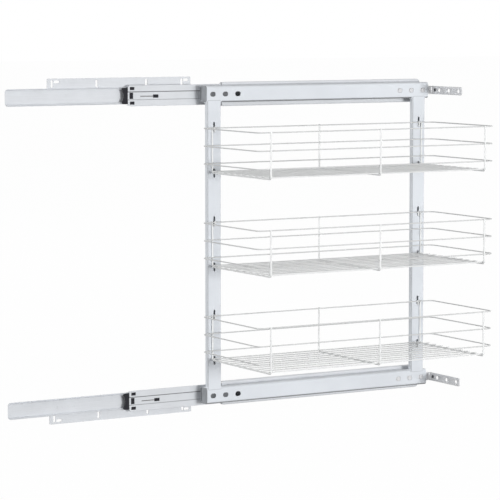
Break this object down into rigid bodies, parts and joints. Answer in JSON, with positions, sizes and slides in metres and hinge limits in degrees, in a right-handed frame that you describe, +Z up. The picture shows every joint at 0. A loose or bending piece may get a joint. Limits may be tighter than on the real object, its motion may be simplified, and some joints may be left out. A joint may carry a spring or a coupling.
{
  "type": "pull out larder unit",
  "caption": "Side-mounted steel pull-out frame on full-extension ball-bearing runners, with hook-on wire baskets and brackets that carry the cabinet door.",
  "frame": {"origin": "on the cabinet side's face (the back of the mounting plates), midway between the two horizontal fixing slots of the lower mounting plate", "axes": "+X is the pull-out direction towards the door, +Y points at the cabinet side that carries the runners, +Z is up; stored fully pulled out"},
  "size_m": [0.9061, 0.2552, 0.633],
  "materials": {
    "silver_paint": "satin silver-grey powder coat",
    "zinc_steel": "bright zinc plating",
    "coated_wire": "satin silver-grey coated wire",
    "grey_plastic": "moulded, matt",
    "black_plastic": "moulded, matt",
    "ball_steel": "polished",
    "dark_steel": "dark"
  },
  "bodies": {
    "cabinet_side": {"upper_mounting_plate": "zinc_steel", "lower_mounting_plate": "zinc_steel", "upper_inner_member": "zinc_steel", "lower_inner_member": "zinc_steel", "upper_clinch_rivets": "zinc_steel", "lower_clinch_rivets": "zinc_steel"},
    "upper_intermediate": {"upper_intermediate_member": "zinc_steel", "upper_end_buffer": "black_plastic", "upper_latch_lever": "black_plastic"},
    "lower_intermediate": {"lower_intermediate_member": "zinc_steel", "lower_end_buffer": "black_plastic", "lower_latch_lever": "black_plastic"},
    "upper_inner_ball_cage": {"upper_inner_cage": "zinc_steel", "upper_inner_balls": "ball_steel"},
    "lower_inner_ball_cage": {"lower_inner_cage": "zinc_steel", "lower_inner_balls": "ball_steel"},
    "upper_outer_ball_cage": {"upper_outer_cage": "zinc_steel", "upper_outer_balls": "ball_steel"},
    "lower_outer_ball_cage": {"lower_outer_cage": "zinc_steel", "lower_outer_balls": "ball_steel"},
    "frame": {"upper_outer_member": "zinc_steel", "lower_outer_member": "zinc_steel", "upper_runner_rivets": "zinc_steel", "lower_runner_rivets": "zinc_steel", "upper_rail": "silver_paint", "lower_rail": "silver_paint", "upper_rail_plug": "grey_plastic", "lower_rail_plug": "grey_plastic", "rear_upright": "silver_paint", "front_upright": "silver_paint", "upper_door_bracket": "silver_paint", "lower_door_bracket": "silver_paint", "upper_door_stud": "dark_steel", "lower_door_stud": "dark_steel"},
    "top_basket": {"top_basket_rings": "coated_wire", "top_basket_ribs": "coated_wire", "top_basket_floor": "coated_wire", "top_basket_hooks": "coated_wire"},
    "middle_basket": {"middle_basket_rings": "coated_wire", "middle_basket_ribs": "coated_wire", "middle_basket_floor": "coated_wire", "middle_basket_hooks": "coated_wire"},
    "bottom_basket": {"bottom_basket_rings": "coated_wire", "bottom_basket_ribs": "coated_wire", "bottom_basket_floor": "coated_wire", "bottom_basket_hooks": "coated_wire"}
  },
  "joints": [
    {"name": "pull_out", "type": "slide", "parent": "cabinet_side", "child": "frame", "axis": [1, 0, 0], "range_m": [-0.442, 0]},
    {"name": "upper_intermediate_slide", "type": "slide", "parent": "cabinet_side", "child": "upper_intermediate", "axis": [1, 0, 0], "range_m": [-0.2445, 0.0005]},
    {"name": "upper_inner_ball_cage_slide", "type": "slide", "parent": "cabinet_side", "child": "upper_inner_ball_cage", "axis": [1, 0, 0], "range_m": [-0.1225, 0.0005]},
    {"name": "upper_outer_ball_cage_slide", "type": "slide", "parent": "cabinet_side", "child": "upper_outer_ball_cage", "axis": [1, 0, 0], "range_m": [-0.3435, 0.0005]},
    {"name": "lower_intermediate_slide", "type": "slide", "parent": "cabinet_side", "child": "lower_intermediate", "axis": [1, 0, 0], "range_m": [-0.2445, 0.0005]},
    {"name": "lower_inner_ball_cage_slide", "type": "slide", "parent": "cabinet_side", "child": "lower_inner_ball_cage", "axis": [1, 0, 0], "range_m": [-0.1225, 0.0005]},
    {"name": "lower_outer_ball_cage_slide", "type": "slide", "parent": "cabinet_side", "child": "lower_outer_ball_cage", "axis": [1, 0, 0], "range_m": [-0.3435, 0.0005]},
    {"name": "top_basket_lift", "type": "slide", "parent": "frame", "child": "top_basket", "axis": [0, 0, 1], "range_m": [0, 0.0035]},
    {"name": "middle_basket_lift", "type": "slide", "parent": "frame", "child": "middle_basket", "axis": [0, 0, 1], "range_m": [0, 0.0035]},
    {"name": "bottom_basket_lift", "type": "slide", "parent": "frame", "child": "bottom_basket", "axis": [0, 0, 1], "range_m": [0, 0.0035]}
  ],
  "couplings": [
    {"joint": "upper_intermediate_slide", "follows": "pull_out", "ratio": 0.55204},
    {"joint": "upper_inner_ball_cage_slide", "follows": "pull_out", "ratio": 0.27602},
    {"joint": "upper_outer_ball_cage_slide", "follows": "pull_out", "ratio": 0.77602},
    {"joint": "lower_intermediate_slide", "follows": "pull_out", "ratio": 0.55204},
    {"joint": "lower_inner_ball_cage_slide", "follows": "pull_out", "ratio": 0.27602},
    {"joint": "lower_outer_ball_cage_slide", "follows": "pull_out", "ratio": 0.77602}
  ]
}
